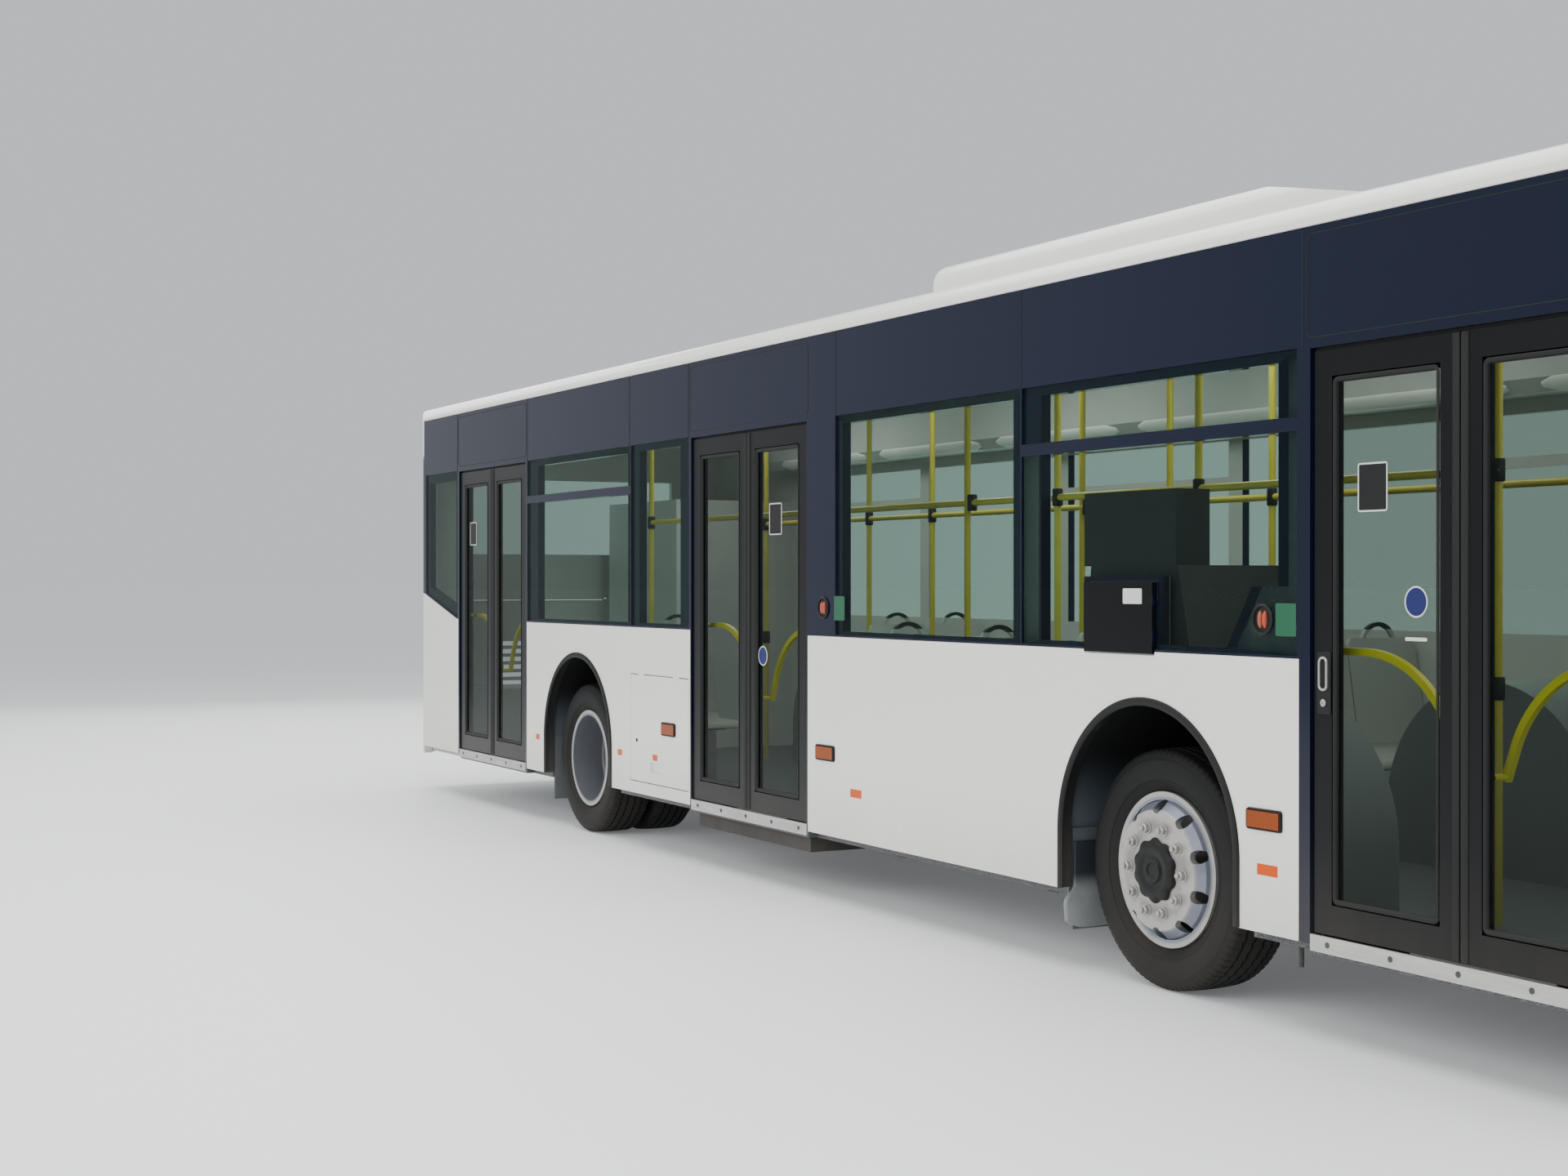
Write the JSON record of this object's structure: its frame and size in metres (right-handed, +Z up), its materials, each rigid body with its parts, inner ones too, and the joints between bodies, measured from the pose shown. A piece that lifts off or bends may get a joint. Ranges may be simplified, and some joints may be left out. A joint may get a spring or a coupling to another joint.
{
  "type": "airport passenger bus",
  "caption": "Low-floor airport passenger bus with double inward-gliding doors on the right side, steered front wheels, twin rear wheels, glazed saloon and a roof air-conditioning unit.",
  "frame": {"origin": "on the ground, half way between the bumpers and on the centre line", "axes": "+X to the front, +Y to the left side, +Z up; the doors are on the -Y side"},
  "size_m": [11.95, 2.93, 3.15],
  "materials": {
    "white_paint": "glossy warm white paint",
    "dark_gloss": "glossy black paint and printed glass",
    "tinted_glass": "tinted glass",
    "floor_vinyl": "fine speckled vinyl",
    "liner": "matt blue-grey",
    "steel": "dark chassis paint",
    "interior_panel": "matt light grey",
    "aluminium": "ribbed, slightly worn",
    "rail_yellow": "gloss yellow-green powder coat",
    "seat_plastic": "grained grey",
    "seat_dark": "woven",
    "dash_plastic": "grained",
    "lamp_clear": "clear lens",
    "lamp_red": "ribbed lens",
    "lamp_amber": "ribbed lens",
    "black_plastic": "grained",
    "rim_silver": "silver paint",
    "tyre": "worn rubber",
    "door_frame": "satin grey-black",
    "door_glass": "tinted glass"
  },
  "bodies": {
    "root": {"side_wall_right": "white_paint", "side_wall_left": "white_paint", "window_band_right": "dark_gloss", "window_band_left": "dark_gloss", "front_panel": "white_paint", "rear_panel": "white_paint", "end_frames": "dark_gloss", "windscreen": "tinted_glass", "saloon_glass": "tinted_glass", "roof": "white_paint", "roof_unit": "white_paint", "floor": "floor_vinyl", "wheel_houses": "liner", "underframe": "steel", "engine": "steel", "engine_tower": "interior_panel", "axles": "steel", "door_sills": "aluminium", "ceiling_ducts": "interior_panel", "grab_rails": "rail_yellow", "seats": "seat_plastic", "driver_seat": "seat_dark", "dashboard": "dash_plastic", "cab_partition": "interior_panel", "headlamps": "lamp_clear", "tail_lamps": "lamp_red", "marker_lamps": "lamp_amber", "mirrors": "black_plastic"},
    "engine_lid": {"engine_lid": "white_paint"},
    "fuel_flap": {"fuel_flap": "black_plastic"},
    "service_flap": {"service_flap": "white_paint", "flap_lamps": "lamp_amber"},
    "knuckle_left": {"knuckle_left": "steel"},
    "knuckle_right": {"knuckle_right": "steel"},
    "front_wheel_left": {"front_rim_left": "rim_silver", "front_tyre_left": "tyre"},
    "front_wheel_right": {"front_rim_right": "rim_silver", "front_tyre_right": "tyre"},
    "rear_wheels_left": {"rear_rims_left": "rim_silver", "rear_tyres_left": "tyre"},
    "rear_wheels_right": {"rear_rims_right": "rim_silver", "rear_tyres_right": "tyre"},
    "front_door_post_a": {"front_door_post_a": "door_frame"},
    "front_door_leaf_a": {"front_door_leaf_a": "door_frame", "front_door_glass_a": "door_glass"},
    "front_door_post_b": {"front_door_post_b": "door_frame"},
    "front_door_leaf_b": {"front_door_leaf_b": "door_frame", "front_door_glass_b": "door_glass"},
    "middle_door_post_a": {"middle_door_post_a": "door_frame"},
    "middle_door_leaf_a": {"middle_door_leaf_a": "door_frame", "middle_door_glass_a": "door_glass"},
    "middle_door_post_b": {"middle_door_post_b": "door_frame"},
    "middle_door_leaf_b": {"middle_door_leaf_b": "door_frame", "middle_door_glass_b": "door_glass"},
    "rear_door_post_a": {"rear_door_post_a": "door_frame"},
    "rear_door_leaf_a": {"rear_door_leaf_a": "door_frame", "rear_door_glass_a": "door_glass"},
    "rear_door_post_b": {"rear_door_post_b": "door_frame"},
    "rear_door_leaf_b": {"rear_door_leaf_b": "door_frame", "rear_door_glass_b": "door_glass"}
  },
  "joints": [
    {"name": "steer_left", "type": "hinge", "parent": "root", "child": "knuckle_left", "pos_m": [3.27, 0.9, 0.47], "axis": [0, 0, 1], "range_deg": [-45, 45]},
    {"name": "front_wheel_left_roll", "type": "hinge", "parent": "knuckle_left", "child": "front_wheel_left", "pos_m": [3.27, 1.05, 0.47], "axis": [0, 1, 0], "continuous": true},
    {"name": "rear_wheels_left_roll", "type": "hinge", "parent": "root", "child": "rear_wheels_left", "pos_m": [-2.575, 1.073, 0.47], "axis": [0, 1, 0], "continuous": true},
    {"name": "steer_right", "type": "hinge", "parent": "root", "child": "knuckle_right", "pos_m": [3.27, -0.9, 0.47], "axis": [0, 0, 1], "range_deg": [-45, 45]},
    {"name": "front_wheel_right_roll", "type": "hinge", "parent": "knuckle_right", "child": "front_wheel_right", "pos_m": [3.27, -1.05, 0.47], "axis": [0, 1, 0], "continuous": true},
    {"name": "rear_wheels_right_roll", "type": "hinge", "parent": "root", "child": "rear_wheels_right", "pos_m": [-2.575, -1.073, 0.47], "axis": [0, 1, 0], "continuous": true},
    {"name": "front_door_post_a_turn", "type": "hinge", "parent": "root", "child": "front_door_post_a", "pos_m": [4.182, -1.18, 1.4], "axis": [0, 0, 1], "range_deg": [0, 90]},
    {"name": "front_door_leaf_a_turn", "type": "hinge", "parent": "front_door_post_a", "child": "front_door_leaf_a", "pos_m": [4.556, -1.18, 1.4], "axis": [0, 0, 1], "range_deg": [-180, 0]},
    {"name": "front_door_post_b_turn", "type": "hinge", "parent": "root", "child": "front_door_post_b", "pos_m": [5.608, -1.18, 1.4], "axis": [0, 0, -1], "range_deg": [0, 90]},
    {"name": "front_door_leaf_b_turn", "type": "hinge", "parent": "front_door_post_b", "child": "front_door_leaf_b", "pos_m": [5.234, -1.18, 1.4], "axis": [0, 0, -1], "range_deg": [-180, 0]},
    {"name": "middle_door_post_a_turn", "type": "hinge", "parent": "root", "child": "middle_door_post_a", "pos_m": [-0.888, -1.18, 1.4], "axis": [0, 0, 1], "range_deg": [0, 90]},
    {"name": "middle_door_leaf_a_turn", "type": "hinge", "parent": "middle_door_post_a", "child": "middle_door_leaf_a", "pos_m": [-0.514, -1.18, 1.4], "axis": [0, 0, 1], "range_deg": [-180, 0]},
    {"name": "middle_door_post_b_turn", "type": "hinge", "parent": "root", "child": "middle_door_post_b", "pos_m": [0.538, -1.18, 1.4], "axis": [0, 0, -1], "range_deg": [0, 90]},
    {"name": "middle_door_leaf_b_turn", "type": "hinge", "parent": "middle_door_post_b", "child": "middle_door_leaf_b", "pos_m": [0.164, -1.18, 1.4], "axis": [0, 0, -1], "range_deg": [-180, 0]},
    {"name": "rear_door_post_a_turn", "type": "hinge", "parent": "root", "child": "rear_door_post_a", "pos_m": [-4.901, -1.18, 1.4], "axis": [0, 0, 1], "range_deg": [0, 90]},
    {"name": "rear_door_leaf_a_turn", "type": "hinge", "parent": "rear_door_post_a", "child": "rear_door_leaf_a", "pos_m": [-4.527, -1.18, 1.4], "axis": [0, 0, 1], "range_deg": [-180, 0]},
    {"name": "rear_door_post_b_turn", "type": "hinge", "parent": "root", "child": "rear_door_post_b", "pos_m": [-3.475, -1.18, 1.4], "axis": [0, 0, -1], "range_deg": [0, 90]},
    {"name": "rear_door_leaf_b_turn", "type": "hinge", "parent": "rear_door_post_b", "child": "rear_door_leaf_b", "pos_m": [-3.849, -1.18, 1.4], "axis": [0, 0, -1], "range_deg": [-180, 0]},
    {"name": "engine_lid_open", "type": "hinge", "parent": "root", "child": "engine_lid", "pos_m": [-5.968, 0, 1.446], "axis": [0, 1, 0], "range_deg": [0, 80]},
    {"name": "fuel_flap_open", "type": "hinge", "parent": "root", "child": "fuel_flap", "pos_m": [3.336, -1.284, 1.45], "axis": [0, 0, 1], "range_deg": [0, 110]},
    {"name": "service_flap_open", "type": "hinge", "parent": "root", "child": "service_flap", "pos_m": [-1.3, -1.276, 1.04], "axis": [-1, 0, 0], "range_deg": [0, 90]}
  ],
  "couplings": [
    {"joint": "steer_right", "follows": "steer_left", "ratio": 1},
    {"joint": "front_door_leaf_a_turn", "follows": "front_door_post_a_turn", "ratio": -2},
    {"joint": "front_door_post_b_turn", "follows": "front_door_post_a_turn", "ratio": 1},
    {"joint": "front_door_leaf_b_turn", "follows": "front_door_post_a_turn", "ratio": -2},
    {"joint": "middle_door_leaf_a_turn", "follows": "middle_door_post_a_turn", "ratio": -2},
    {"joint": "middle_door_post_b_turn", "follows": "middle_door_post_a_turn", "ratio": 1},
    {"joint": "middle_door_leaf_b_turn", "follows": "middle_door_post_a_turn", "ratio": -2},
    {"joint": "rear_door_leaf_a_turn", "follows": "rear_door_post_a_turn", "ratio": -2},
    {"joint": "rear_door_post_b_turn", "follows": "rear_door_post_a_turn", "ratio": 1},
    {"joint": "rear_door_leaf_b_turn", "follows": "rear_door_post_a_turn", "ratio": -2}
  ]
}
